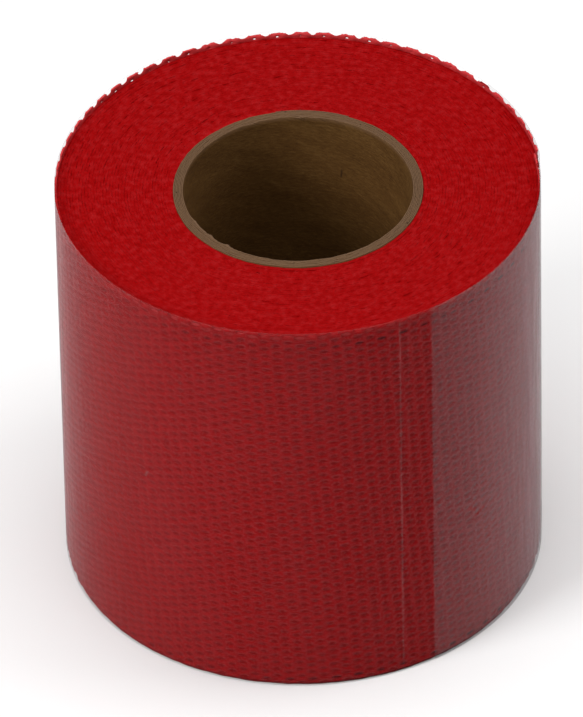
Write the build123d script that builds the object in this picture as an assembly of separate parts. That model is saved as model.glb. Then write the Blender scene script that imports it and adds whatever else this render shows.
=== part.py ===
"""A wide roll of red cloth tape, wound on a spiral paper core, standing on one end.

The origin is the centre of the bottom end of the bore and +Z runs up the bore. An azimuth is counted
from -Y towards +X, which is anticlockwise seen from above. The tape's outer end is near +X, and from
there the web winds inward as the azimuth grows.

The web has three layers: adhesive on the inside, open cloth in the middle and clear film on the outside.
The film runs on past the cut end of the cloth as a film-only tail, which is the tab that a hand lifts.
The outermost turn stands proud of the turns inside it at the top end, and the film is a little wider than
the cloth.
"""
from build123d import *
import math
import os

# The paper core
BORE_RADIUS = 38.4
CORE_LENGTH = 149.1
PLY_COUNT = 7
PLY_THICKNESS = 0.44
GLUE_LINE = 0.04  # gap between one paper ply and the next
PLY_LEAD = 151.6  # height that a ply's butt seam climbs in one turn of the core
SEAM_WIDTH = 0.3
SEAM_STAGGER = 137.0  # degrees from one ply's seam to the next

# The wound web
TAPE_LENGTH = 15240.0
ROLL_RADIUS = 81.8  # outside of the web at the cloth's outer end
ADHESIVE_THICKNESS = 0.10
CLOTH_THICKNESS = 0.64
FILM_THICKNESS = 0.10
LAYER_GAP = 0.055
FILM_HEIGHTS = (0.0, 152.4)  # bottom and top of the outermost turn
CLOTH_HEIGHTS = (1.2, 151.8)
INNER_FILM_HEIGHTS = (0.0, 148.9)  # bottom and top of the turns inside it
INNER_CLOTH_HEIGHTS = (0.0, 148.4)
INNER_START = 396.0  # angle along the web at which the lower turns begin
ADHESIVE_INSET = 0.4  # the adhesive stops this far inside both edges of the cloth

# The strip that holds the start of the web on the core
STRIP_THICKNESS = 0.12
STRIP_WIDTH = 25.0
STRIP_GAP = 0.08

# The loose outer end, as azimuths
CLOTH_END = 100.0
WEB_HINGE = 128.0  # the laminated end lifts from here
TAIL_HINGE = 68.0  # the film-only tab lifts from here
FILM_END = 32.3
TAIL_RAMP = 7.0  # the film comes down off the cloth's cut end over this angle
END_GAP = 0.12  # clearance under the loose end
HINGE_GAP = 0.05

CORE_RADIUS = BORE_RADIUS + PLY_COUNT * PLY_THICKNESS + (PLY_COUNT - 1) * GLUE_LINE
START_RADIUS = CORE_RADIUS + STRIP_THICKNESS + 2 * STRIP_GAP
TURN_PITCH = math.pi * (ROLL_RADIUS**2 - START_RADIUS**2) / TAPE_LENGTH

# How far each layer's outer face lies inside the web's outer face
FILM_DEPTH = 0.0
CLOTH_DEPTH = FILM_DEPTH + FILM_THICKNESS + LAYER_GAP
ADHESIVE_DEPTH = CLOTH_DEPTH + CLOTH_THICKNESS + LAYER_GAP
WEB_THICKNESS = ADHESIVE_DEPTH + ADHESIVE_THICKNESS

# Angles along the web are counted inward from the cloth's outer end
LAST_ANGLE = 360.0 * (ROLL_RADIUS - WEB_THICKNESS - START_RADIUS) / TURN_PITCH
WEB_HINGE_ANGLE = WEB_HINGE - CLOTH_END
TAIL_HINGE_ANGLE = TAIL_HINGE - CLOTH_END
FILM_END_ANGLE = FILM_END - CLOTH_END
HINGE_GAP_ANGLE = math.degrees(HINGE_GAP / ROLL_RADIUS)
TAIL_DEPTH = -(END_GAP + FILM_THICKNESS)  # the tail lies on the turn below, so its depth is negative


def direction(azimuth):
    """The unit vector that points outward at an azimuth."""
    turn = math.radians(azimuth)
    return Vector(math.sin(turn), -math.cos(turn), 0)


def web_point(depth, angle, half_turn):
    """A point in the web, on the arc of the given half turn. The arcs swap centres to make the spiral."""
    centre = direction(CLOTH_END) * (TURN_PITCH / 4 * (-1) ** half_turn)
    radius = ROLL_RADIUS - TURN_PITCH / 4 - half_turn * TURN_PITCH / 2 - depth
    return centre + direction(CLOTH_END + angle) * radius


def web_arcs(depth, start, end):
    """The arcs that follow the web from one angle to a larger one."""
    arcs = []
    angle = start
    while angle < end - 1e-6:
        half_turn = int(math.floor(angle / 180 + 1e-9))
        stop = min(end, 180.0 * (half_turn + 1))
        corners = [web_point(depth, a, half_turn) for a in (angle, (angle + stop) / 2, stop)]
        arcs.append(Edge.make_three_point_arc(*corners))
        angle = stop
    return arcs


def strip_between(outer, inner, heights):
    """A strip standing on edge between two lines of edges that run the same way."""
    ends = [
        Edge.make_line(outer[0] @ 0, inner[0] @ 0),
        Edge.make_line(outer[-1] @ 1, inner[-1] @ 1),
    ]
    section = Face(Wire(outer + inner + ends))
    bottom, top = heights
    return Pos(0, 0, bottom) * extrude(section, amount=top - bottom, dir=(0, 0, 1))


def web_strip(depth, thickness, start, end, heights):
    """One layer of the wound web between two angles."""
    return strip_between(web_arcs(depth, start, end), web_arcs(depth + thickness, start, end), heights)


def core_ply(index):
    """One paper ply: a tube with the helical butt seam of the strip that it is wound from."""
    inner = BORE_RADIUS + index * (PLY_THICKNESS + GLUE_LINE)
    outer = inner + PLY_THICKNESS
    tube = extrude(Circle(outer) - Circle(inner), amount=CORE_LENGTH)
    overrun = 1.0
    blade_foot = Pos((inner + outer) / 2, 0, -overrun) * Rectangle(PLY_THICKNESS + 0.4, SEAM_WIDTH)
    blade_height = CORE_LENGTH + 2 * overrun
    hand = 1 if index % 2 == 0 else -1
    blade = Solid.extrude_linear_with_rotation(
        blade_foot.face(), (0, 0, -overrun), (0, 0, blade_height), hand * 360 * blade_height / PLY_LEAD
    )
    return tube - Rot(0, 0, index * SEAM_STAGGER) * blade


def start_strip():
    """The double-sided strip between the core and the innermost end of the web."""
    inner = CORE_RADIUS + STRIP_GAP
    middle = CLOTH_END + LAST_ANGLE
    half_angle = math.degrees(STRIP_WIDTH / 2 / inner)
    faces = []
    for radius in (inner + STRIP_THICKNESS, inner):
        corners = [direction(middle + a) * radius for a in (-2 * half_angle, -half_angle, 0)]
        faces.append([Edge.make_three_point_arc(*corners)])
    return strip_between(*faces, (0.0, CORE_LENGTH))


def tail_arcs(depth, start, end):
    """Arcs over the turn below, for the film tail that has no cloth under it."""
    return web_arcs(depth, start + 360, end + 360)


def film_end():
    """The film over the laminated end, its ramp down past the cut cloth, and the fixed part of the tail."""
    stop = WEB_HINGE_ANGLE - HINGE_GAP_ANGLE
    lines = []
    for depth in (0.0, FILM_THICKNESS):
        tail = tail_arcs(TAIL_DEPTH + depth, TAIL_HINGE_ANGLE, -TAIL_RAMP)
        lap = web_arcs(depth - END_GAP, 0.0, stop)
        ramp = Edge.make_line(tail[-1] @ 1, lap[0] @ 0)
        lines.append(tail + [ramp] + lap)
    return strip_between(*lines, FILM_HEIGHTS)


def film_tab():
    """The free end of the film."""
    stop = TAIL_HINGE_ANGLE - HINGE_GAP_ANGLE
    faces = [tail_arcs(TAIL_DEPTH + depth, FILM_END_ANGLE, stop) for depth in (0.0, FILM_THICKNESS)]
    return strip_between(*faces, FILM_HEIGHTS)


def inset(heights):
    """The heights of the adhesive on a cloth with the given heights."""
    return (heights[0] + ADHESIVE_INSET, heights[1] - ADHESIVE_INSET)


def layers(start, stop, cloth_heights, film_heights, lift=0.0):
    """The three layers of the web between two angles."""
    return {
        "film": web_strip(FILM_DEPTH - lift, FILM_THICKNESS, start, stop, film_heights),
        "cloth": web_strip(CLOTH_DEPTH - lift, CLOTH_THICKNESS, start, stop, cloth_heights),
        "adhesive": web_strip(ADHESIVE_DEPTH - lift, ADHESIVE_THICKNESS, start, stop, inset(cloth_heights)),
    }


def build_parts():
    """Every piece of the roll, by node name."""
    names = ["core_inner_ply"] + [f"core_ply_{i}" for i in range(2, PLY_COUNT)] + ["core_outer_ply"]
    parts = {name: core_ply(i) for i, name in enumerate(names)}
    parts["start_strip"] = start_strip()
    outer_turn = layers(WEB_HINGE_ANGLE, INNER_START, CLOTH_HEIGHTS, FILM_HEIGHTS)
    inner_turns = layers(INNER_START, LAST_ANGLE, INNER_CLOTH_HEIGHTS, INNER_FILM_HEIGHTS)
    for layer in ("film", "cloth", "adhesive"):
        parts[f"{layer}_roll"] = outer_turn[layer] + inner_turns[layer]
    loose_stop = WEB_HINGE_ANGLE - HINGE_GAP_ANGLE
    loose = layers(0.4, loose_stop, CLOTH_HEIGHTS, FILM_HEIGHTS, lift=END_GAP)
    parts["cloth_end"] = loose["cloth"]
    parts["adhesive_end"] = loose["adhesive"]
    parts["film_end"] = film_end()
    parts["film_tab"] = film_tab()
    return parts


os.makedirs("parts", exist_ok=True)
for node_name, node_solid in build_parts().items():
    export_step(node_solid, f"parts/{node_name}.step")
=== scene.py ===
"""The looks of the wide red tape roll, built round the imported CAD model.

Lengths are in millimetres up to the moment a mesh is made. An azimuth is in degrees from -Y towards +X.
The web's own coordinates are the angle along it (0 at the cloth's outer end, growing inward), the depth
below its outer face, and the height.
"""
import math

import bmesh
import bpy
import numpy as np
from mathutils import Matrix, Vector


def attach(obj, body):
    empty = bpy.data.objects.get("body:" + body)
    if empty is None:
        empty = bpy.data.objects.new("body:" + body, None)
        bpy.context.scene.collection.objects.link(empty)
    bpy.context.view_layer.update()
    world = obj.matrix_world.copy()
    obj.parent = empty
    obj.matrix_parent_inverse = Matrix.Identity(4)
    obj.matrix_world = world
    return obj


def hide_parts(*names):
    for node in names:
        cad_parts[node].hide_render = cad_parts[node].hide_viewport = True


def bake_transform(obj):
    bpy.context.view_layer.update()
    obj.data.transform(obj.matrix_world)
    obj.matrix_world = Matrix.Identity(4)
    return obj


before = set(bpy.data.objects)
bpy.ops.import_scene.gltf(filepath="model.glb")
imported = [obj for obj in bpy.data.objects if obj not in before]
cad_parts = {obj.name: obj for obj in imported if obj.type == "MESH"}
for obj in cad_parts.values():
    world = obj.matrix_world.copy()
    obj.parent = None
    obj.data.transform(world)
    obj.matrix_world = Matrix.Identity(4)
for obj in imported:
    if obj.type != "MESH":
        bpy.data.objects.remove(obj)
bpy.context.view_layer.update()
MM = 0.001
SEED = 7

# ---------------------------------------------------------------- the CAD model's dimensions
BORE_RADIUS = 38.4
CORE_LENGTH = 149.1
PLY_COUNT = 7
PLY_THICKNESS = 0.44
PLY_STEP = 0.48
PLY_GAP = 0.04
PLY_LEAD = 151.6
SEAM_WIDTH = 0.3
SEAM_STAGGER = 137.0
CORE_RADIUS = BORE_RADIUS + PLY_COUNT * PLY_STEP - PLY_GAP
STRIP_SPACE = 0.28  # room for the start strip between the core and the first turn
TAPE_LENGTH = 15240.0
ROLL_RADIUS = 81.8
START_RADIUS = CORE_RADIUS + STRIP_SPACE
TURN_PITCH = math.pi * (ROLL_RADIUS**2 - START_RADIUS**2) / TAPE_LENGTH
CLOTH_DEPTH = 0.155
CLOTH_THICKNESS = 0.64
ADHESIVE_DEPTH = 0.85
WEB_THICKNESS = 0.95
CLOTH_END = 100.0  # the azimuth of the cloth's outer end, where angles along the web start
WEB_HINGE = 28.0
TAIL_HINGE = -32.0
FILM_END = -67.7
TAIL_RAMP = 7.0
TAIL_RISE = 0.22
END_GAP = 0.12
INNER_START = 396.0
LAST_ANGLE = 360.0 * (ROLL_RADIUS - WEB_THICKNESS - START_RADIUS) / TURN_PITCH
FILM_BOTTOM, FILM_TOP = 0.0, 152.4
CLOTH_BOTTOM, CLOTH_TOP = 1.2, 151.8
PACK_TOP = 148.35  # the height of the inner turns' cloth

rng = np.random.default_rng(SEED)


# ---------------------------------------------------------------- the web's shape
def directions(azimuth):
    """Unit vectors that point outward at azimuths in degrees, as an (n, 2) array."""
    turn = np.radians(azimuth)
    return np.stack([np.sin(turn), -np.cos(turn)], axis=-1)


def web_to_space(angle, depth, height):
    """Points of the web in space. Half-turn arcs swap centres to make the spiral, as in the CAD model."""
    angle, depth, height = np.broadcast_arrays(
        np.asarray(angle, float), np.asarray(depth, float), np.asarray(height, float)
    )
    half_turn = np.floor(angle / 180 + 1e-9)
    centre = directions(CLOTH_END) * (TURN_PITCH / 4)
    swap = np.where(half_turn % 2 == 0, 1.0, -1.0)
    radius = ROLL_RADIUS - TURN_PITCH / 4 - half_turn * TURN_PITCH / 2 - depth
    flat = swap[..., None] * centre + directions(CLOTH_END + angle) * radius[..., None]
    return np.concatenate([flat, height[..., None]], axis=-1)


def smooth_noise(count, knots, low, high, periodic=True):
    """A smooth random line of count values between low and high, with about that many bumps."""
    values = rng.uniform(low, high, knots)
    if periodic:
        values = np.concatenate([values, values[:1]])
        spots = np.linspace(0, 1, knots + 1)
    else:
        spots = np.linspace(0, 1, knots)
    where = np.linspace(0, 1, count)
    left = np.clip(np.searchsorted(spots, where, side="right") - 1, 0, len(spots) - 2)
    share = (where - spots[left]) / (spots[left + 1] - spots[left])
    share = share * share * (3 - 2 * share)
    return values[left] * (1 - share) + values[left + 1] * share


# ---------------------------------------------------------------- meshes
def make_mesh(name, points, faces, coordinates, material):
    """A smooth-shaded mesh object. coordinates are the material's own: along, up and a third number, in mm."""
    mesh = bpy.data.meshes.new(name)
    mesh.from_pydata((np.asarray(points, float) * MM).tolist(), [], faces)
    attribute = mesh.attributes.new("web", "FLOAT_VECTOR", "POINT")
    attribute.data.foreach_set("vector", np.asarray(coordinates, np.float32).ravel())
    mesh.shade_smooth()
    piece = bpy.data.objects.new(name, mesh)
    bpy.context.scene.collection.objects.link(piece)
    mesh.materials.append(material)
    return piece


def grid_faces(rows, columns, closed_columns=False, flip=False):
    """Quads of a grid of points numbered row by row."""
    r = np.arange(rows - 1)
    c = np.arange(columns if closed_columns else columns - 1)
    r, c = np.meshgrid(r, c, indexing="ij")
    r1, c1 = r + 1, (c + 1) % columns
    quads = np.stack([r * columns + c, r * columns + c1, r1 * columns + c1, r1 * columns + c], -1)
    quads = quads.reshape(-1, 4)
    return (quads[:, ::-1] if flip else quads).tolist()


# ---------------------------------------------------------------- materials
class Nodes:
    """A short way to write a material's nodes."""

    def __init__(self, name):
        self.material = bpy.data.materials.new(name)
        self.material.use_nodes = True
        self.tree = self.material.node_tree
        self.shader = self.tree.nodes["Principled BSDF"]

    def add(self, kind, **settings):
        """A node. in_NAME and in_NUMBER give an input a value or a link, and other settings are the node's own."""
        node = self.tree.nodes.new(kind)
        for key, value in settings.items():
            if key.startswith("in_"):
                key = key[3:]
                socket = node.inputs[int(key) if key.isdigit() else key.replace("_", " ")]
                if isinstance(value, bpy.types.NodeSocket):
                    self.tree.links.new(value, socket)
                else:
                    socket.default_value = value
            else:
                setattr(node, key, value)
        return node

    def link(self, source, socket):
        self.tree.links.new(source, self.shader.inputs[socket])

    def math(self, operation, a, b=0.0, clamp=False):
        return self.add("ShaderNodeMath", operation=operation, use_clamp=clamp, in_0=a, in_1=b).outputs[0]

    def web(self, scale=(1, 1, 1), offset=(0, 0, 0)):
        """The mesh's own coordinates in mm, scaled."""
        attribute = self.add("ShaderNodeAttribute", attribute_name="web")
        mapping = self.add("ShaderNodeMapping", in_Vector=attribute.outputs["Vector"])
        mapping.inputs["Scale"].default_value = scale
        mapping.inputs["Location"].default_value = offset
        return mapping.outputs[0]

    def part(self, axis, vector):
        """One of a vector's three numbers."""
        return self.add("ShaderNodeSeparateXYZ", in_0=vector).outputs[axis]

    def noise(self, vector, scale=1.0, detail=2.0, roughness=0.5):
        node = self.add("ShaderNodeTexNoise", in_Vector=vector, in_Scale=scale, in_Detail=detail)
        node.inputs["Roughness"].default_value = roughness
        return node.outputs["Fac"]

    def ramp(self, value, *stops):
        """A colour that follows value through stops, each a position and a colour."""
        node = self.add("ShaderNodeValToRGB", in_Fac=value)
        elements = node.color_ramp.elements
        while len(elements) < len(stops):
            elements.new(0.5)
        for element, (position, colour) in zip(elements, stops):
            element.position = position
            element.color = (*colour, 1)
        return node.outputs["Color"]

    def mix(self, share, a, b):
        """The colours a and b mixed: a where share is 0, and b where it is 1."""
        node = self.add("ShaderNodeMix", data_type="RGBA")
        for index, value in ((0, share), (6, a), (7, b)):
            if isinstance(value, bpy.types.NodeSocket):
                self.tree.links.new(value, node.inputs[index])
            else:
                node.inputs[index].default_value = (*value, 1) if index else value
        return node.outputs[2]

    def bump(self, height, strength, distance):
        node = self.add("ShaderNodeBump", in_Height=height, in_Strength=strength, in_Distance=distance)
        return node.outputs["Normal"]

    def line(self, value, middle, half_width):
        """1 in the middle of a narrow band of value and 0 outside it."""
        away = self.math("ABSOLUTE", self.math("SUBTRACT", value, middle))
        return self.math("SUBTRACT", 1.0, self.math("DIVIDE", away, half_width), clamp=True)


def grey(value):
    return (value,) * 3


YARN = (0.245, 0.0008, 0.0016)
YARN_DARK = (0.195, 0.0006, 0.0012)
YARN_LIGHT = (0.305, 0.0020, 0.0032)
YARN_FRAYED_AND_LIT = (0.58, 0.052, 0.056)
# the lightest cut-edge tone has a paler tint: painted glints of the loose fuzz on the cut edges
CUT_DARK, CUT, CUT_LIGHT_GLINT = (0.212, 0.0002, 0.0005), (0.252, 0.0006, 0.0012), (0.285, 0.0060, 0.0072)
FRAYED_AND_LIT_POWER = 0.75
# along the free edge the yarn is frayed and painted paler, partly for the fray and partly as painted light shining
# through the thin fringe, up to the first of these places along the web and from the second, in mm
FRAYED_AND_LIT_UNTIL, FRAYED_AND_LIT_FROM = 260.0, 490.0
FADE_OUT, FADE_IN = 40.0, 20.0


def frayed_and_lit_share(m):
    """Nodes that give 0 at the height of the wound ends and 1 at the outer turn's free edge."""
    share = m.math("DIVIDE", m.math("SUBTRACT", m.part(1, m.web()), PACK_TOP), CLOTH_TOP - PACK_TOP, clamp=True)
    return m.math("POWER", share, FRAYED_AND_LIT_POWER)


def yarn_material(name, along, shade=1.0, fringe=False, mottle=False):
    """Red polyester yarn: bundles of fine filaments that run along the web, with darker and lighter stretches.
    along is the grain's fineness along the web, and shade dims the colours. With fringe the yarn is paler towards
    the free edge, partly because its filaments are frayed and partly as painted light shining through the thin
    fringe.
    With mottle it is the cut edges' yarn, with darker flecks, and lighter flecks with a painted glint of the loose
    fuzz."""
    m = Nodes(name)
    filaments = m.noise(m.web((along, 5.0, 2.0)), 1.0, 3.0, 0.6)
    if mottle:
        place = m.add("ShaderNodeTexCoord").outputs["Object"]
        patches = m.math("ADD", m.math("MULTIPLY", m.noise(place, 430.0, 3.0, 0.6), 2.0), -0.5)
    else:
        patches = m.noise(m.web((0.35, 0.35, 0.35), (31, 7, 5)), 1.0, 2.0)
    tone = m.math("ADD", m.math("MULTIPLY", filaments, 0.5), m.math("MULTIPLY", patches, 0.5))
    tones = (CUT_DARK, CUT, CUT_LIGHT_GLINT) if mottle else (YARN_DARK, YARN, YARN_LIGHT)
    dark, middle, light = ([c * shade for c in colour] for colour in tones)
    colour = m.ramp(tone, (0.30, dark), (0.47, middle), (0.70, light))
    if fringe:
        # painted light: towards the free edge the yarn is mixed with a pale red that stands in for light shining
        # through the thin frayed fringe
        along_web = m.part(0, m.web())
        before = m.math("DIVIDE", m.math("SUBTRACT", FRAYED_AND_LIT_UNTIL, along_web), FADE_OUT, clamp=True)
        after = m.math("DIVIDE", m.math("SUBTRACT", along_web, FRAYED_AND_LIT_FROM), FADE_IN, clamp=True)
        frayed_and_lit = m.math("MULTIPLY", frayed_and_lit_share(m), m.math("ADD", before, after, clamp=True))
        colour = m.mix(m.math("MULTIPLY", frayed_and_lit, m.math("ADD", filaments, 0.35), clamp=True), colour, YARN_FRAYED_AND_LIT)
    m.link(colour, "Base Color")
    m.link(m.ramp(filaments, (0.3, grey(0.62)), (0.7, grey(0.42))), "Roughness")
    m.link(m.bump(filaments, 0.8, 0.00025), "Normal")
    m.shader.inputs["Specular IOR Level"].default_value = 0.03
    return m.material


SLIT_X, SLIT_HEIGHT = 14.7, 127.0  # where the short slit in the bore's back wall is, in mm


def kraft_material(name):
    """Brown recycled board: short fibres, mottling and darker specks. The cut ends are paler."""
    m = Nodes(name)
    fibres = m.noise(m.web((0.45, 1.3, 1.0)), 1.0, 6.0, 0.72)
    cloud = m.noise(m.web((0.10, 0.10, 0.10), (3, 9, 1)), 1.0, 3.0)
    specks = m.noise(m.web((1.5, 1.9, 2.0), (11, 3, 8)), 1.0, 1.0)
    tone = m.math("ADD", m.math("MULTIPLY", fibres, 0.70), m.math("MULTIPLY", cloud, 0.30))
    browns = (0.32, (0.058, 0.023, 0.0040)), (0.50, (0.099, 0.044, 0.0092)), (0.68, (0.150, 0.075, 0.0200))
    colour = m.ramp(tone, *browns)
    speck = m.ramp(specks, (0.60, grey(0)), (0.70, grey(1)))
    colour = m.mix(m.math("MULTIPLY", speck, 0.50), colour, (0.045, 0.019, 0.006))
    # the slit leans a little, and is on the back wall only
    place = m.add("ShaderNodeTexCoord").outputs["Object"]
    x, y, z = (m.math("MULTIPLY", m.part(k, place), 1000.0) for k in range(3))
    lean = m.math("SUBTRACT", x, m.math("MULTIPLY", m.math("SUBTRACT", z, SLIT_HEIGHT), 0.10))
    reach = m.math("MULTIPLY", m.line(z, SLIT_HEIGHT, 2.2), 2.0, clamp=True)
    slit = m.math("MULTIPLY", m.line(lean, SLIT_X, 0.5), reach)
    slit = m.math("MULTIPLY", slit, m.math("GREATER_THAN", y, 0.0))
    # painted shade: the slit is not cut into the board, its dark line is shade painted into the board's colour
    colour = m.mix(m.math("MULTIPLY", slit, 0.8), colour, (0.022, 0.010, 0.004))
    rim = m.ramp(m.part(2, m.web()), (0.0, grey(0)), (1.0, grey(1)))
    colour = m.mix(m.math("MULTIPLY", rim, 0.75), colour, (0.119, 0.070, 0.041))
    m.link(colour, "Base Color")
    m.link(m.ramp(fibres, (0.3, grey(0.72)), (0.7, grey(0.9))), "Roughness")
    m.link(m.bump(fibres, 0.7, 0.0003), "Normal")
    m.shader.inputs["Specular IOR Level"].default_value = 0.15
    return m.material


def knit_holes(m, along, up):
    """Nodes that give 1 over the holes of the knit one turn below and -1 between them, before the cloth's end.
    They undo shear() and the main part of warp(), which are further down."""

    def wave(value, period):
        return m.math("SINE", m.math("DIVIDE", value, period))

    below = m.math("ADD", along, 2 * math.pi * CLOTH_RADIUS)
    sway = m.math("ADD", m.math("MULTIPLY", wave(below, 61.0), 0.6), m.math("ADD", m.math("DIVIDE", up, 23.0), 1.0))
    lift = m.math("ADD", m.math("MULTIPLY", wave(up, 31.0), 0.5), m.math("DIVIDE", below, 37.0))
    s = m.math("SUBTRACT", below, m.math("MULTIPLY", m.math("SINE", sway), SWAY))
    z = m.math("SUBTRACT", up, m.math("MULTIPLY", m.math("SINE", lift), LIFT))
    turning = LEVEL_ROWS + CLIMB_EASE / 2
    leaning = m.math("MULTIPLY", m.math("ADD", z, ROW_RISE * turning - LEVEL_PHASE), COLUMN_LEAN)
    x = m.math("DIVIDE", m.math("ADD", s, leaning), 1 + COLUMN_LEAN * ROW_RISE)
    climb = m.math("MULTIPLY", m.math("SUBTRACT", x, turning), ROW_RISE)
    height = m.math("SUBTRACT", m.math("SUBTRACT", z, LEVEL_PHASE), climb)
    columns = m.math("COSINE", m.math("MULTIPLY", x, math.pi / COLUMN_PITCH))
    rows = m.math("COSINE", m.math("MULTIPLY", height, 2 * math.pi / ROW_PITCH))
    return m.math("MULTIPLY", m.math("MULTIPLY", columns, rows), m.math("LESS_THAN", along, 0.0))


def film_material(name, haze, haze_edge, slant_power, marks, wrinkles=(), knit_haze=0.0):
    """Clear film with a slight grey haze, which thickens where the surface is seen at a slant.
    marks are upright whiter lines, creases and painted highlights: (place along the web in mm, half width, lowest
    and highest point, haze).
    wrinkles are short strokes: (place along the web, height, slope in degrees, half length, half width, haze).
    knit_haze is painted shade: how much less the film hazes over the holes of the knit that it lies on than over the
    yarns, so the holes show darker through it."""
    m = Nodes(name)
    position = m.web()
    along, up = m.part(0, position), m.part(1, position)
    cloud = m.noise(m.web((0.05, 0.012, 0.1), (4, 2, 9)), 1.0, 2.0)
    slant = m.add("ShaderNodeLayerWeight", in_Blend=0.5).outputs["Facing"]
    slant = m.math("POWER", slant, slant_power)
    alpha = m.math("MULTIPLY", m.math("ADD", m.math("MULTIPLY", cloud, 0.7), 0.65), haze)
    alpha = m.math("ADD", alpha, m.math("MULTIPLY", slant, haze_edge))
    whitened = 0.0
    for where, half_width, low, high, share in marks:
        within = m.math("MULTIPLY", m.line(up, (low + high) / 2, (high - low) / 2), 8.0, clamp=True)
        band = m.math("MULTIPLY", m.math("MULTIPLY", m.line(along, where, half_width), within), share)
        whitened = m.math("ADD", whitened, band)
    for where, height, slope, half_length, half_width, share in wrinkles:
        cosine, sine = math.cos(math.radians(slope)), math.sin(math.radians(slope))
        ahead, above = m.math("SUBTRACT", along, where), m.math("SUBTRACT", up, height)
        length = m.math("ADD", m.math("MULTIPLY", ahead, cosine), m.math("MULTIPLY", above, sine))
        across = m.math("SUBTRACT", m.math("MULTIPLY", above, cosine), m.math("MULTIPLY", ahead, sine))
        within = m.math("MULTIPLY", m.line(length, 0.0, half_length), 2.0, clamp=True)
        stroke = m.math("MULTIPLY", m.math("MULTIPLY", m.line(across, 0.0, half_width), within), share)
        whitened = m.math("ADD", whitened, stroke)
    # painted shade: thinner haze over the holes below lets them show darker
    if knit_haze:
        alpha = m.math("SUBTRACT", alpha, m.math("MULTIPLY", knit_holes(m, along, up), knit_haze))
    alpha = m.math("MAXIMUM", m.math("ADD", alpha, whitened), 0.01)
    # painted highlight: the film is hazier in thin lines along its top and bottom cut edges, where they catch the
    # light
    rim_highlights = m.math("MAXIMUM", m.line(up, FILM_TOP + 0.1, 0.7), m.line(up, FILM_BOTTOM - 0.1, 1.0))
    alpha = m.math("MINIMUM", m.math("ADD", alpha, m.math("MULTIPLY", rim_highlights, 0.10)), 0.9)
    m.link(alpha, "Alpha")
    colour = m.ramp(cloud, (0.3, (0.225, 0.212, 0.222)), (0.7, (0.245, 0.232, 0.242)))
    m.link(m.mix(m.math("MULTIPLY", whitened, 5.0, clamp=True), colour, (0.48, 0.37, 0.36)), "Base Color")
    ripples = m.noise(m.web((0.30, 0.02, 0.1), (8, 1, 3)), 1.0, 3.0)
    m.link(m.ramp(ripples, (0.3, grey(0.22)), (0.7, grey(0.34))), "Roughness")
    m.link(m.bump(ripples, 0.35, 0.0003), "Normal")
    m.shader.inputs["Specular IOR Level"].default_value = 0.3
    return m.material


CLOTH_RADIUS = 81.4  # turns an angle along the web into mm of cloth
LIT_HOLES_MM = math.radians(180) * CLOTH_RADIUS  # along the web, the middle of where the holes are painted lit


def adhesive_material(name):
    """The tacky red coat behind the open cloth, with the shadow of the next turn's knit in it."""
    m = Nodes(name)
    knit = m.noise(m.web((0.8, 1.1, 1.0)), 1.0, 2.0)
    fine = m.noise(m.web((0.2, 3.0, 1.0), (5, 5, 5)), 1.0, 3.0)
    tone = m.math("ADD", m.math("MULTIPLY", knit, 0.6), m.math("MULTIPLY", fine, 0.4))
    colour = m.ramp(tone, (0.3, (0.160, 0.0006, 0.0011)), (0.7, (0.208, 0.0009, 0.0015)))
    # painted light: on the left side, where the key light shines into the holes, the coat is painted nearly as light
    # as the yarn
    lit_holes = m.line(m.part(0, m.web()), LIT_HOLES_MM, 80.0)
    colour = m.mix(m.math("MULTIPLY", lit_holes, 0.9), colour, YARN)
    # above the wound ends it is painted as pale as the frayed edge: painted light on the outer turn's shaded inner
    # side
    frayed_and_lit = m.math("MULTIPLY", frayed_and_lit_share(m), m.math("ADD", fine, 0.25), clamp=True)
    m.link(m.mix(frayed_and_lit, colour, YARN_FRAYED_AND_LIT), "Base Color")
    m.link(m.ramp(knit, (0.3, grey(0.5)), (0.7, grey(0.7))), "Roughness")
    m.link(m.bump(tone, 0.4, 0.0002), "Normal")
    m.shader.inputs["Specular IOR Level"].default_value = 0.02
    return m.material


def pale_material(name, colour, scale):
    """A plain pale surface with a faint mottling."""
    m = Nodes(name)
    place = m.add("ShaderNodeTexCoord").outputs["Object"]
    cloud = m.noise(place, scale, 3.0)
    m.link(m.ramp(cloud, (0.2, [c * 0.985 for c in colour]), (0.8, colour)), "Base Color")
    m.shader.inputs["Roughness"].default_value = 0.8
    m.shader.inputs["Specular IOR Level"].default_value = 0.1
    return m.material


def paper_material(name):
    """The double-sided strip: brown glassine paper with a faint grain."""
    m = Nodes(name)
    place = m.add("ShaderNodeTexCoord").outputs["Object"]
    grain = m.noise(place, 900.0, 4.0)
    m.link(m.ramp(grain, (0.3, (0.115, 0.066, 0.034)), (0.7, (0.150, 0.090, 0.050))), "Base Color")
    m.link(m.ramp(grain, (0.3, grey(0.6)), (0.7, grey(0.8))), "Roughness")
    return m.material


# ---------------------------------------------------------------- the paper core
BEVEL = 0.12  # how far below a cut end a ply's walls start, in mm
# torn flaps on the bore's upper edge: (azimuth, width in degrees, reach in mm)
BURRS = ((178, 2.5, 0.8), (170, 5, 0.35), (202, 4, 0.3), (-64, 4, 0.35), (-57, 6, 0.3), (-50, 3, 0.7), (-38, 3, 0.8))


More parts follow.
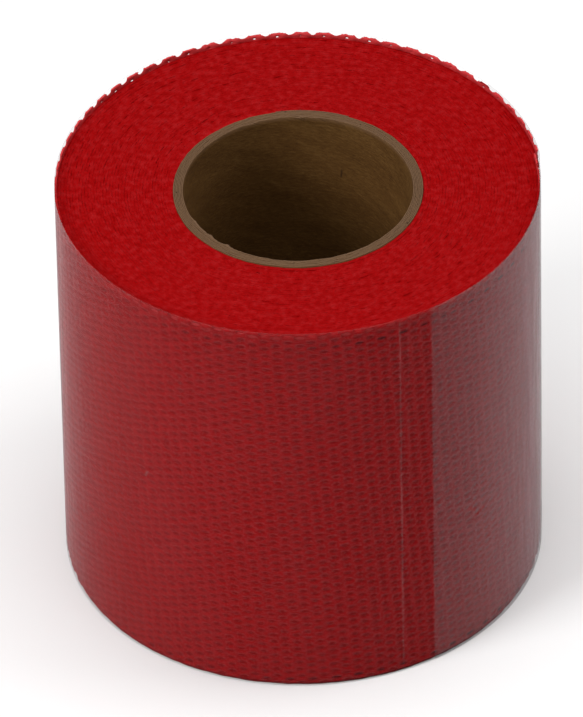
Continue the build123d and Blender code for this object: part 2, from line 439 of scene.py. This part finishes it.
def core_ply(index, material):
    """One ply wound from a strip: a tube that its helical butt seam opens, with slightly ragged cut ends."""
    inner = BORE_RADIUS + index * PLY_STEP
    middle = inner + PLY_THICKNESS / 2
    hand = 1 if index % 2 == 0 else -1
    gap = math.degrees(SEAM_WIDTH / middle)
    columns = 760 if index == 0 else 288
    share = np.linspace(0, 1, columns)
    walls = np.array([2.0, 6.0, *np.linspace(12, CORE_LENGTH - 12, 18), CORE_LENGTH - 6.0, CORE_LENGTH - 2.0])
    end_low = smooth_noise(columns, 90, -0.02, 0.16)
    end_high = smooth_noise(columns, 90, -0.22, 0.05)
    end_high += rng.normal(0, 0.035, columns)
    outer = inner + PLY_THICKNESS
    # the cross-section, up the inner side and down the outer one: (radius, height, how ragged, how much rim)
    loop = [(inner, BEVEL, 1.0, 0.6)]
    loop += [(inner, z, 0.0, 0.0) for z in walls]
    loop += [(inner, CORE_LENGTH - BEVEL, 1.0, 0.6)]
    loop += [(inner + 0.10, CORE_LENGTH, 1.0, 1.0), (outer - 0.10, CORE_LENGTH, 1.0, 1.0)]
    loop += [(outer, CORE_LENGTH - BEVEL, 1.0, 0.6)]
    loop += [(outer, z, 0.0, 0.0) for z in walls[::-1]]
    loop += [(outer, BEVEL, 1.0, 0.6)]
    loop += [(outer - 0.10, 0.0, 1.0, 1.0), (inner + 0.10, 0.0, 1.0, 1.0)]
    loop = np.array(loop)
    height = np.repeat(loop[None, :, 1], columns, axis=0)
    ragged = loop[None, :, 2] * np.where(loop[None, :, 1] > CORE_LENGTH / 2, end_high[:, None], end_low[:, None])
    height = np.maximum(height + ragged, 0.0)
    seam = 90 + index * SEAM_STAGGER + hand * 360 * height / PLY_LEAD
    azimuth = seam + gap / 2 + share[:, None] * (360 - gap)
    radius = np.repeat(loop[None, :, 0], columns, axis=0)
    if index == 0:
        flap = 0
        for place, width, size in BURRS:
            flap = flap + size * np.exp(-((((azimuth - place + 180) % 360 - 180) / width) ** 2))
        torn = flap * rng.uniform(0.35, 1.0, (columns, 1)) * (height > CORE_LENGTH - 0.6) * (radius < inner + 0.2)
        radius = radius - torn
        height = height + torn * 0.25
    points = np.concatenate([directions(azimuth) * radius[..., None], height[..., None]], axis=-1)
    along = np.radians(share[:, None] * (360 - gap)) * middle + 0 * height
    rim = np.repeat(loop[None, :, 3], columns, axis=0)
    coordinates = np.stack([along + index * 37, height, rim], axis=-1)
    n = len(loop)
    last = (columns - 1) * n
    caps = [list(range(n))[::-1], list(range(last, last + n))]
    faces = grid_faces(columns, n, closed_columns=True) + caps
    return make_mesh(f"ply_{index + 1}_look", points.reshape(-1, 3), faces, coordinates.reshape(-1, 3), material)


# ---------------------------------------------------------------- the knitted cloth
COLUMN_PITCH = 3.95
ROW_PITCH = 3.0
HALF_ROW = ROW_PITCH / 2
COLUMN_LEAN = math.tan(math.radians(4.1))
ROW_RISE = math.tan(math.radians(1.7))
LEVEL_ROWS = 225.0  # up to this far along the web the rows run level, and from there they climb
CLIMB_EASE = 40.0  # mm over which the climb starts
SLACK_UNTIL, SLACK_FROM = LEVEL_ROWS + 25.0, 500.0  # where the free edge's yarn is slack, along the web
SWAY, LIFT = 0.30, 0.35  # the knit's slow unevenness along and up, in mm
LEVEL_PHASE = 1.8  # puts the level rows' holes on the top cut, which makes the scallops
CORNER = (COLUMN_PITCH**2 - HALF_ROW**2) / (2 * COLUMN_PITCH)
SIDE = COLUMN_PITCH - CORNER


def ten_points(half):
    """The outline of a cell or a hole: five points on its upper half, and the same on its lower half."""
    return np.array(half + [(-x, -z) for x, z in half])


CELL = ten_points(
    [(SIDE, 0), (CORNER, HALF_ROW), (CORNER / 3, HALF_ROW), (-CORNER / 3, HALF_ROW), (-CORNER, HALF_ROW)]
)
HOLE = ten_points([(1.72, 0), (1.22, 0.52), (0.46, 0.84), (-0.46, 0.84), (-1.22, 0.52)])
# each ring of a cell: share of the way from the cell's edge to the hole's, the hole's scale there, and depth
# below the cloth's face
RINGS = (
    (0.0, 1.0, 0.0), (0.45, 1.0, 0.05), (0.78, 1.0, 0.20), (1.0, 1.0, 0.42),
    (1.0, 0.78, 0.55), (1.0, 0.84, CLOTH_THICKNESS), (0.0, 1.0, CLOTH_THICKNESS),
)
FRONT_RINGS = 5  # where the cloth's back is never seen, its cells have only these rings
EDGE_BAND = 1.2  # cells whose middle is this near the free edge, in mm, are the notches in it


def shear(x, z):
    """Where a point of the straight knit lies on the web: its columns lean, and its rows climb."""
    start = np.clip((x - LEVEL_ROWS) / CLIMB_EASE, 0, 1) ** 2 * CLIMB_EASE / 2
    climb = np.where(x < LEVEL_ROWS + CLIMB_EASE, start, x - LEVEL_ROWS - CLIMB_EASE / 2)
    return x - COLUMN_LEAN * z, z + LEVEL_PHASE + ROW_RISE * climb


def warp(flat):
    """The knit's slow unevenness."""
    s, z = flat[..., 0], flat[..., 1]
    ds = SWAY * np.sin(z / 23 + 1.0 + 0.6 * np.sin(s / 61)) + 0.12 * np.sin(s / 17 + z / 13)
    dz = LIFT * np.sin(s / 37 + 0.5 * np.sin(z / 31)) + 0.10 * np.sin(s / 11 + z / 19)
    return flat + np.stack([ds, dz], axis=-1)


def cell_points(centres, rings):
    """Points of every ring of every cell, as an (n, rings, 10, 3) array of along, up and depth."""
    count = len(centres)
    size = rng.normal(1.0, 0.06, (count, 1, 2)).clip(0.82, 1.15)
    # the free top edge has slack yarn, which nearly shuts its holes and opens its notches
    along, up = shear(centres[:, 0], centres[:, 1])
    free = (along < SLACK_UNTIL) | (along > SLACK_FROM)
    slack = free & (up > PACK_TOP - 1.5) & (up < CLOTH_TOP - EDGE_BAND)
    size[slack] = size[slack] * rng.uniform(0.10, 0.40, (int(slack.sum()), 1, 1))
    notched = free & (np.abs(up - CLOTH_TOP) < EDGE_BAND)
    notches = int(notched.sum())
    wider = np.stack([rng.uniform(0.85, 1.12, notches), rng.uniform(1.1, 1.5, notches)], -1)
    size[notched] = size[notched] * wider[:, None]
    drift = rng.normal(0, 0.07, (count, 1, 2))
    hole = HOLE[None] * size + drift
    made = []
    for share, scale, depth in rings:
        ring = CELL[None] * (1 - share) + hole * (share * scale)
        x, z = ring[..., 0] + centres[:, None, 0], ring[..., 1] + centres[:, None, 1]
        flat = np.stack(shear(x, z), axis=-1)
        made.append(np.concatenate([warp(flat), np.full(flat.shape[:2] + (1,), depth)], axis=-1))
    return np.stack(made, axis=1)


def knit_flat(start, stop, low, high, back):
    """The knit laid flat between two lengths and two heights: (points, faces). Cells that the edges cross are
    cut there and capped, so a cut through a hole leaves a notch."""
    columns = np.arange(math.floor((start - 25) / COLUMN_PITCH), math.ceil((stop + 25) / COLUMN_PITCH) + 1)
    rows = np.arange(-12, 65)
    i, j = np.meshgrid(columns, rows, indexing="ij")
    centres = np.stack([i * COLUMN_PITCH, j * ROW_PITCH + (i % 2) * HALF_ROW], axis=-1).reshape(-1, 2)
    s, up = shear(centres[:, 0], centres[:, 1])
    near = (s > start - 4) & (s < stop + 4) & (up > low - 4) & (up < high + 4)
    centres = centres[near]
    cells = cell_points(centres, RINGS)
    edge = cells[:, 0]
    inside = (edge[..., 0] > start + 0.02) & (edge[..., 0] < stop - 0.02)
    inside &= (edge[..., 1] > low + 0.02) & (edge[..., 1] < high - 0.02)
    reach = (edge[..., 0].max(1) > start) & (edge[..., 0].min(1) < stop)
    reach &= (edge[..., 1].max(1) > low) & (edge[..., 1].min(1) < high)
    whole = inside.all(1)
    crossed = reach & ~whole
    two_faced = np.full(len(cells), True) if back else edge[..., 1].max(1) > PACK_TOP - 3
    points, faces = np.zeros((0, 3)), []
    for chosen, rings in ((whole & two_faced, len(RINGS)), (whole & ~two_faced, FRONT_RINGS), (crossed, len(RINGS))):
        more_points, more_faces = ring_faces(cells[chosen], rings)
        if chosen is crossed and chosen.any():
            more_points, more_faces = trim(more_points, more_faces, start, stop, low, high)
        faces += [[k + len(points) for k in face] for face in more_faces]
        points = np.concatenate([points, more_points])
    return points, faces


def ring_faces(cells, rings):
    """Quads between each cell's rings, with the points that neighbouring cells share merged."""
    count, width = len(cells), CELL.shape[0]
    points = cells[:, :rings].reshape(-1, 3)
    base = (np.arange(count) * rings * width)[:, None, None]
    ring = (np.arange(rings - 1) * width)[None, :, None]
    k = np.arange(width)[None, None, :]
    k1 = (k + 1) % width
    quads = np.stack([base + ring + k, base + ring + k1, base + ring + width + k1, base + ring + width + k], -1)
    quads = quads.reshape(-1, 4)
    keys = np.round(points * 500).astype(np.int64)
    _, kept, back = np.unique(keys, axis=0, return_index=True, return_inverse=True)
    return points[kept], back.reshape(-1)[quads].tolist()


def trim(points, faces, start, stop, low, high):
    """Cuts a flat knit at its edges and closes what the cuts open."""
    work = bmesh.new()
    made = [work.verts.new(p) for p in points]
    for face in faces:
        if len(set(face)) > 2:
            try:
                work.faces.new([made[k] for k in dict.fromkeys(face)])
            except ValueError:  # the same face again
                pass
    sides = ((start, 0), (-1, 0)), ((stop, 0), (1, 0)), ((0, low), (0, -1)), ((0, high), (0, 1))
    for place, normal in sides:
        geometry = work.verts[:] + work.edges[:] + work.faces[:]
        plane = {"plane_co": (*place, 0), "plane_no": (*normal, 0)}
        cut = bmesh.ops.bisect_plane(work, geom=geometry, clear_outer=True, dist=1e-5, **plane)
        edges = [e for e in cut["geom_cut"] if isinstance(e, bmesh.types.BMEdge) and e.is_boundary]
        if edges:
            bmesh.ops.holes_fill(work, edges=edges, sides=0)
    bmesh.ops.triangulate(work, faces=[f for f in work.faces if len(f.verts) > 4])
    work.verts.index_update()
    out_points = np.array([v.co[:] for v in work.verts])
    out_faces = [[v.index for v in f.verts] for f in work.faces]
    work.free()
    return out_points, out_faces


def knit_piece(name, start_angle, stop_angle, material, top=CLOTH_TOP, back=False, lift=None):
    """A stretch of the outer turn's cloth, with its holes, between two angles along the web."""
    start, stop = (math.radians(a) * CLOTH_RADIUS for a in (start_angle, stop_angle))
    flat, faces = knit_flat(start, stop, CLOTH_BOTTOM, top, back)
    # the free edge is cut unevenly
    s = flat[:, 0]
    cut = (flat[:, 1] > top - 0.01) * (0.12 * np.sin(s * 1.9) + 0.09 * np.sin(s * 4.3 + 1) + 0.10 * np.sin(s * 9.7))
    flat[:, 1] += np.minimum(cut - 0.12, 0.35) * (cut != 0)
    angle = np.degrees(flat[:, 0] / CLOTH_RADIUS)
    depth = CLOTH_DEPTH + flat[:, 2]
    if lift:
        depth = depth - lift(angle)
    points = web_to_space(angle, depth, flat[:, 1])
    return make_mesh(name, points, [f[::-1] for f in faces], flat, material)


# ---------------------------------------------------------------- the wound ends
TIP_PERIOD = 2 * COLUMN_PITCH
NOTCH_HALF = 1.45
PACK_START = 359.5  # from here inward the turns are as low as the pack
OUTER_LIFT, LIFT_FADE = 1.3, 1500.0  # how much higher the outer turns' edges are, and over how many degrees of web
CORE_BAND = 2.6  # the ring of turns next to the core that stand level with its end, in mm
SIDE_WAVE = 0.6  # the share of a turn's waviness that its sides follow
SHADE_SHEET_HEIGHT = 145.85


def pack_end(name, material, top, step):
    """The cut edges of the inner turns at one end of the roll: one ragged ribbon with its tips and notches.
    step is the distance between its points along the web, in mm."""
    angle = np.linspace(PACK_START - 4, LAST_ANGLE, int(TAPE_LENGTH / step))
    radius = ROLL_RADIUS - angle / 360 * TURN_PITCH
    arc = np.concatenate([[0], np.cumsum(np.radians(np.diff(angle)) * (radius[1:] + radius[:-1]) / 2)])
    angle = np.interp(np.linspace(0, arc[-1], int(arc[-1] / step)), arc, angle)
    count = len(angle)
    arc = np.linspace(0, arc[-1], count)
    radius = ROLL_RADIUS - angle / 360 * TURN_PITCH

    def bumps(number, low, high):
        return smooth_noise(count, number, low, high, periodic=False)

    # the cut drifts through the holes, so its notches come and go between two sets of columns
    drift = bumps(46, -2.2, 2.2)
    away = np.abs((arc + drift) % TIP_PERIOD - TIP_PERIOD / 2)
    notch = np.clip((NOTCH_HALF + 0.35 - away) / 0.7, 0, 1)
    notch = notch * notch * (3 - 2 * notch)
    notch_depth = bumps(1500, 0.03, 0.32)
    ragged = rng.normal(0, 0.065, count) + bumps(6500, -0.08, 0.08)
    turns = bumps(60, -0.08, 0.08)
    turns = turns + OUTER_LIFT * np.exp((PACK_START - angle) / LIFT_FADE)
    edge = -notch * notch_depth + ragged + turns
    # the innermost turns stand level with the core's end, apart from short pockets where they have sunk
    inside = np.clip((radius - START_RADIUS) / CORE_BAND, 0, 1)
    azimuth = np.radians(CLOTH_END + angle)
    pockets = np.clip(bumps(900, -2.0, 1.6), 0, 1)
    sink = (1 - inside) * (pockets * (1.0 + 0.5 * np.cos(azimuth + math.radians(40))) - 0.85)
    edge = edge - sink + 0.25
    wave = bumps(5200, -0.22, 0.22) + rng.normal(0, 0.04, count)
    gaps = np.clip(bumps(5200, -1.0, 1.0), 0, 1)
    valley = 0.17 - 0.20 * gaps - sink + turns + rng.normal(0, 0.04, count)
    # the first turn lies against the outer turn's cloth, and before that against the loose end
    against = (angle < PACK_START + 360) * np.where(angle < WEB_HINGE + 356, 0.34, 0.22)
    # the last turn's inner side reaches the core
    out = np.hypot(*web_to_space(angle, 0, 0)[:, :2].T)
    on_core = (angle > LAST_ANGLE - 360.5) * (out - TURN_PITCH - CORE_RADIUS - 0.04)
    # a turn's inner side is the next turn's outer side, so no crack opens between them
    next_valley = np.interp(angle + 360, angle, valley)
    next_wave = np.where(on_core > 0, wave, np.interp(angle + 360, angle, wave))
    # each turn's section from its outer side to its inner one: (depth, height on the side or over the cut edge)
    sections = [(SIDE_WAVE * wave - against, valley)]
    sections += [(depth + wave, edge + rise) for depth, rise in ((0.14, -0.10), (0.50, 0.03), (0.86, -0.08))]
    sections += [(TURN_PITCH + SIDE_WAVE * next_wave + on_core, next_valley)]
    rows = []
    for depth, height in sections:
        if top:
            height = PACK_TOP + height
        else:  # the roll stands on this end, so its cut edges are pressed level
            height = np.maximum(0.30 - 0.45 * height, 0.0)
        rows.append(web_to_space(angle, depth, height))
    points = np.stack(rows, axis=1)
    columns = len(rows)
    # the material's coordinates shift slowly from turn to turn, so neighbours do not look alike
    across = np.tile(np.arange(columns) * 0.50, (count, 1)) + angle[:, None] / 485
    coordinates = np.stack([np.repeat(arc[:, None], columns, 1), across, points[..., 2]], -1)
    faces = grid_faces(count, columns, flip=not top)
    return make_mesh(name, points.reshape(-1, 3), faces, coordinates.reshape(-1, 3), material)


def annulus(name, inner, outer, height, up, material, swell):
    """A dark sheet of painted shade under the cut edges, for the shade between them."""
    columns, rows = 360, 26
    azimuth = np.linspace(0, 360, columns, endpoint=False)
    radii = np.linspace(inner, outer, rows)
    r, a = np.meshgrid(radii, azimuth, indexing="ij")
    z = height + swell * rng.uniform(-1, 1, r.shape)
    points = np.concatenate([directions(a) * r[..., None], z[..., None]], axis=-1)
    coordinates = np.stack([np.radians(a) * r, r, z], axis=-1)
    faces = grid_faces(rows, columns, closed_columns=True, flip=up)
    return make_mesh(name, points.reshape(-1, 3), faces, coordinates.reshape(-1, 3), material)


# ---------------------------------------------------------------- the film
def film_sheet(name, angles, rise, material, ripple, high=FILM_TOP):
    """Film over a stretch of the web. angles are along the web, and rise is its height off the web's face."""
    near_edge = np.array([0, 0.4, 1.2])
    middle = np.linspace(FILM_BOTTOM + 4, high - 4, 40)
    heights = np.concatenate([FILM_BOTTOM + near_edge, middle, (high - near_edge)[::-1]])
    a, z = np.meshgrid(angles, heights, indexing="ij")
    s = np.radians(a) * CLOTH_RADIUS
    up = np.repeat(rise[:, None], len(heights), axis=1)
    swell = np.sin(s / 3.1 + 2.0 * np.sin(z / 47)) * np.sin(z / 29 + s / 19) * 0.6 + 0.4 * np.sin(s / 1.7 + z / 90)
    up = up + ripple * swell
    below = np.where(a < 0, a + 360, a)
    points = web_to_space(below, -up, z)
    coordinates = np.stack([s, z, np.zeros_like(s)], axis=-1)
    faces = grid_faces(len(angles), len(heights), flip=True)
    return make_mesh(name, points.reshape(-1, 3), faces, coordinates.reshape(-1, 3), material)


# ---------------------------------------------------------------- building the pieces
kraft = kraft_material("kraft_board")
yarn = yarn_material("red_yarn", 0.7, fringe=True)
yarn_cut = yarn_material("red_yarn_cut", 0.9, 1.0, mottle=True)
shade_sheet_material = yarn_material("red_yarn_shadow", 0.5, 0.35)
adhesive = adhesive_material("adhesive_coat")

ply_names = ["core_inner_ply"] + [f"core_ply_{k}" for k in range(2, PLY_COUNT)] + ["core_outer_ply"]
for k, node in enumerate(ply_names):
    ply = core_ply(k, kraft)
    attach(ply, "roll")
    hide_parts(node)

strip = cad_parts["start_strip"]
strip.data.materials.clear()
strip.data.materials.append(paper_material("strip_paper"))

# under the loose end the cloth is as low as in the turns inside it, and the cut edges lie on it
sectors = [*np.linspace(WEB_HINGE, 304.0, 4), PACK_START, INNER_START]
tops = [CLOTH_TOP] * 4 + [PACK_TOP + 0.2]
for k, top in enumerate(tops):
    cloth = knit_piece(f"cloth_turn_{k + 1}", sectors[k], sectors[k + 1], yarn, top)
    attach(cloth, "roll")
    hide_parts("cloth_roll")

for name, top, step in (("cloth_edges_top", True, 0.66), ("cloth_edges_bottom", False, 0.9)):
    edges = pack_end(name, yarn_cut, top, step)
    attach(edges, "roll")
    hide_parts("cloth_roll")
# dark sheets of painted shade under both ends' cut edges
for name, height, up in (("cloth_shade_sheet_top", SHADE_SHEET_HEIGHT, True), ("cloth_shade_sheet_bottom", PACK_TOP - SHADE_SHEET_HEIGHT, False)):
    shade_sheet = annulus(name, START_RADIUS - 0.1, ROLL_RADIUS - 1.2, height, up, shade_sheet_material, 0.1)
    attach(shade_sheet, "roll")

# the adhesive coat behind the outer turn's cloth, which shows a little below it
BACKING_BOTTOM = 0.35
BACKING_TOP = PACK_TOP - 0.5
# between these angles along the web it stands above the wound ends, by this many mm
RISE_FROM, RISE_UNTIL, RISE_EASE, BACKING_RISE = 172, 352, 8, 2.9
COAT_ROWS = 60


def coat_sheet(name, angles, depth, bottom, top):
    """The adhesive coat over a stretch of the web. depth is a function of the angle along the web and the
    height, and top is a function of the angle."""
    a, z = np.meshgrid(angles, np.linspace(0, 1, COAT_ROWS), indexing="ij")
    z = bottom + z * (top(a) - bottom)
    points = web_to_space(a, depth(a, z), z)
    coordinates = np.stack([np.radians(a) * CLOTH_RADIUS, z, 0 * a], -1)
    faces = grid_faces(len(angles), COAT_ROWS, flip=True)
    return make_mesh(name, points.reshape(-1, 3), faces, coordinates.reshape(-1, 3), adhesive)


def backing_top(angle):
    risen = np.clip((angle - RISE_FROM) / RISE_EASE, 0, 1) * np.clip((RISE_UNTIL - angle) / RISE_EASE, 0, 1)
    return BACKING_TOP + BACKING_RISE * risen


def backing_depth(angle, height):
    return ADHESIVE_DEPTH + 0.05 * np.sin(angle * 3.1) * np.sin(height * 0.7)


backing_angles = np.linspace(WEB_HINGE, INNER_START, 380)
backing = coat_sheet("adhesive_coat_turn", backing_angles, backing_depth, BACKING_BOTTOM, backing_top)
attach(backing, "roll")
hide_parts("adhesive_roll")


def end_lift(angle):
    """How far the loose end stands off: nothing at its hinge, and the whole gap a little further on."""
    share = np.clip((WEB_HINGE - angle) / 4.0, 0, 1)
    return END_GAP * share * share * (3 - 2 * share)


def tail_rise(angle):
    """How far the film stands off the web's face along the loose end, down its ramp and along the tail."""
    ramp = np.clip((angle + TAIL_RAMP) / TAIL_RAMP, 0, 1)
    fall = ramp * ramp * (3 - 2 * ramp)
    # before the cloth's end the film lies on the next turn in, and after it on its own cloth
    return np.where(angle < 0, TAIL_RISE + fall * (TURN_PITCH - TAIL_RISE + END_GAP), end_lift(angle))


cloth_end = knit_piece("cloth_end_look", 0.4, WEB_HINGE, yarn, back=True, lift=end_lift)
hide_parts("cloth_end")
end_angles = np.linspace(0.7, WEB_HINGE, 60)
adhesive_end = coat_sheet(
    "adhesive_end_look", end_angles, lambda a, z: ADHESIVE_DEPTH + 0.05 - end_lift(a), CLOTH_BOTTOM + 0.4,
    lambda a: 0 * a + BACKING_TOP,
)
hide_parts("adhesive_end")

# places along the web of three azimuths on the outer turn
crease_mm, short_mm, speck_mm = (math.radians(a + 360 - CLOTH_END) * CLOTH_RADIUS for a in (23.9, -29.5, -40))
film_laid = film_material(
    "film_laid", 0.036, 0.50, 3.7,
    [(crease_mm, 0.28, -3, 156, 0.19), (crease_mm + 3.0, 0.3, 60, 156, 0.05), (short_mm, 0.25, 113, 127, 0.10)],
    [(speck_mm, 78, 70, 1.3, 0.5, 0.18), (speck_mm + 0.5, 79.2, 20, 0.8, 0.5, 0.15)],
)
tail_mm = math.radians(FILM_END) * CLOTH_RADIUS
# painted highlights: thin whiter lines at and near the film's free edge, where its cut edge catches the light
marks = [
    (tail_mm + 0.1, 0.2, -5, 158, 0.05), (tail_mm + 3.4, 0.4, -5, 158, 0.02), (tail_mm + 6.1, 0.4, -5, 158, 0.015)
]
# small wrinkles low on the tail, where the film has sunk onto the cloth:
# (azimuth, height, slope in degrees, half length, half width, haze)
FOLDS = (
    (44.0, 57.0, -31, 2.4, 0.9, -0.17), (47.6, 54.3, 22, 1.7, 0.9, -0.17), (45.3, 52.4, 50, 2.0, 0.8, -0.17),
    (46.1, 53.8, 0, 1.0, 0.8, -0.06), (44.6, 48.6, 10, 1.1, 0.8, -0.06), (46.3, 58.9, 10, 1.1, 0.8, -0.06),
    (45.6, 45.8, 10, 1.0, 0.7, -0.06), (42.0, 35.0, 40, 1.2, 0.8, -0.06), (45.7, 55.2, -20, 1.0, 0.7, 0.07),
)
folds = [(math.radians(azimuth - CLOTH_END) * CLOTH_RADIUS, *rest) for azimuth, *rest in FOLDS]
film_tail = film_material("film_tail", 0.012, 0.47, 1.4, marks, folds, 0.022)

# under the loose end the film is as low as the cloth
for name, start, stop, count, top in (
    ("film_turn", WEB_HINGE, PACK_START, 470, FILM_TOP),
    ("film_turn_under", PACK_START, INNER_START, 60, PACK_TOP + 0.5),
):
    film_turn = film_sheet(name, np.linspace(start, stop, count), np.zeros(count), film_laid, 0.012, high=top)
    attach(film_turn, "roll")
    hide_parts("film_roll")
lap_angles = np.concatenate([
    np.linspace(TAIL_HINGE, -TAIL_RAMP, 44), np.linspace(-TAIL_RAMP, 0, 14)[1:], np.linspace(0, WEB_HINGE, 44)[1:]
])
film_lap = film_sheet("film_end_look", lap_angles, tail_rise(lap_angles), film_tail, 0.015)
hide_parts("film_end")
tab_angles = np.linspace(FILM_END, TAIL_HINGE, 60)
film_tab = film_sheet("film_tab_look", tab_angles, np.full(60, TAIL_RISE), film_tail, 0.015)
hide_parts("film_tab")


def on_web(angle, rise=0.0):
    """A point of the web's outer face in metres, at the bottom."""
    below = angle + 360 if angle < 0 else angle
    return tuple(web_to_space(below, -rise, 0.0) * MM)


BEND = 9.0  # degrees of web before a hinge; the points there are worked out below but not used
for piece in (cloth_end, adhesive_end, film_lap):
    on_web(WEB_HINGE)
    on_web(WEB_HINGE - BEND)
    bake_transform(piece)
on_web(TAIL_HINGE, TAIL_RISE)
on_web(TAIL_HINGE - BEND, TAIL_RISE)
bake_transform(film_tab)

# ---------------------------------------------------------------- floor, light and camera
bpy.ops.mesh.primitive_plane_add(size=30, location=(0, 0, -0.0002))
floor = bpy.context.object
floor.name = "floor"
floor.data.materials.append(pale_material("pale_floor", (0.84, 0.84, 0.84), 0.4))

world = bpy.data.worlds.new("soft_studio")
bpy.context.scene.world = world
world.use_nodes = True
background = world.node_tree.nodes["Background"]
background.inputs["Color"].default_value = (1.0, 1.0, 1.0, 1)
background.inputs["Strength"].default_value = 0.25


def area_light(name, place, target, size, power):
    """A square softbox at place that faces target."""
    light = bpy.data.lights.new(name, "AREA")
    light.shape = "SQUARE"
    light.size = size
    light.energy = power
    lamp = bpy.data.objects.new(name, light)
    lamp.location = place
    lamp.rotation_mode = "QUATERNION"
    lamp.rotation_quaternion = (Vector(target) - Vector(place)).to_track_quat("-Z", "Y")
    bpy.context.scene.collection.objects.link(lamp)


LIT_POINT = (0, 0, 0.1)
area_light("top_softbox", (0, 0, 1.30), LIT_POINT, 1.4, 15.5)
area_light("key_softbox", (-0.92, -0.64, 0.76), LIT_POINT, 0.5, 10.8)
area_light("fill_softbox", (1.06, 0.09, 0.85), LIT_POINT, 0.8, 5.8)

LENS = 609.9
AIM_RIGHT, AIM_UP = 0.000538, 0.014043  # where the top of the core lies in the view, as slopes
ELEVATION = math.radians(38.547)
CAMERA_ROLL = math.radians(-1.056)
DISTANCE = 4.049
cam_data = bpy.data.cameras.new("camera")
camera = bpy.data.objects.new("camera", cam_data)
bpy.context.scene.collection.objects.link(camera)
bpy.context.scene.camera = camera
cam_data.lens = LENS
cam_data.sensor_width = 36.0
cam_data.clip_start, cam_data.clip_end = 0.1, 60
forward = Vector((0, math.cos(ELEVATION), -math.sin(ELEVATION)))
upward = Vector((0, math.sin(ELEVATION), math.cos(ELEVATION)))
rightward = Vector((1, 0, 0))
turned_right = rightward * math.cos(CAMERA_ROLL) + upward * math.sin(CAMERA_ROLL)
turned_up = upward * math.cos(CAMERA_ROLL) - rightward * math.sin(CAMERA_ROLL)
axes = Matrix((turned_right, turned_up, -forward)).transposed()
aim = Vector((AIM_RIGHT, AIM_UP, -1)).normalized()
swing = Vector((0, 0, -1)).rotation_difference(aim).to_matrix()
eye = Vector((0, 0, CORE_LENGTH * MM)) - forward * DISTANCE
camera.matrix_world = Matrix.Translation(eye) @ (axes @ swing.transposed()).to_4x4()

bpy.context.scene.view_settings.view_transform = "Standard"
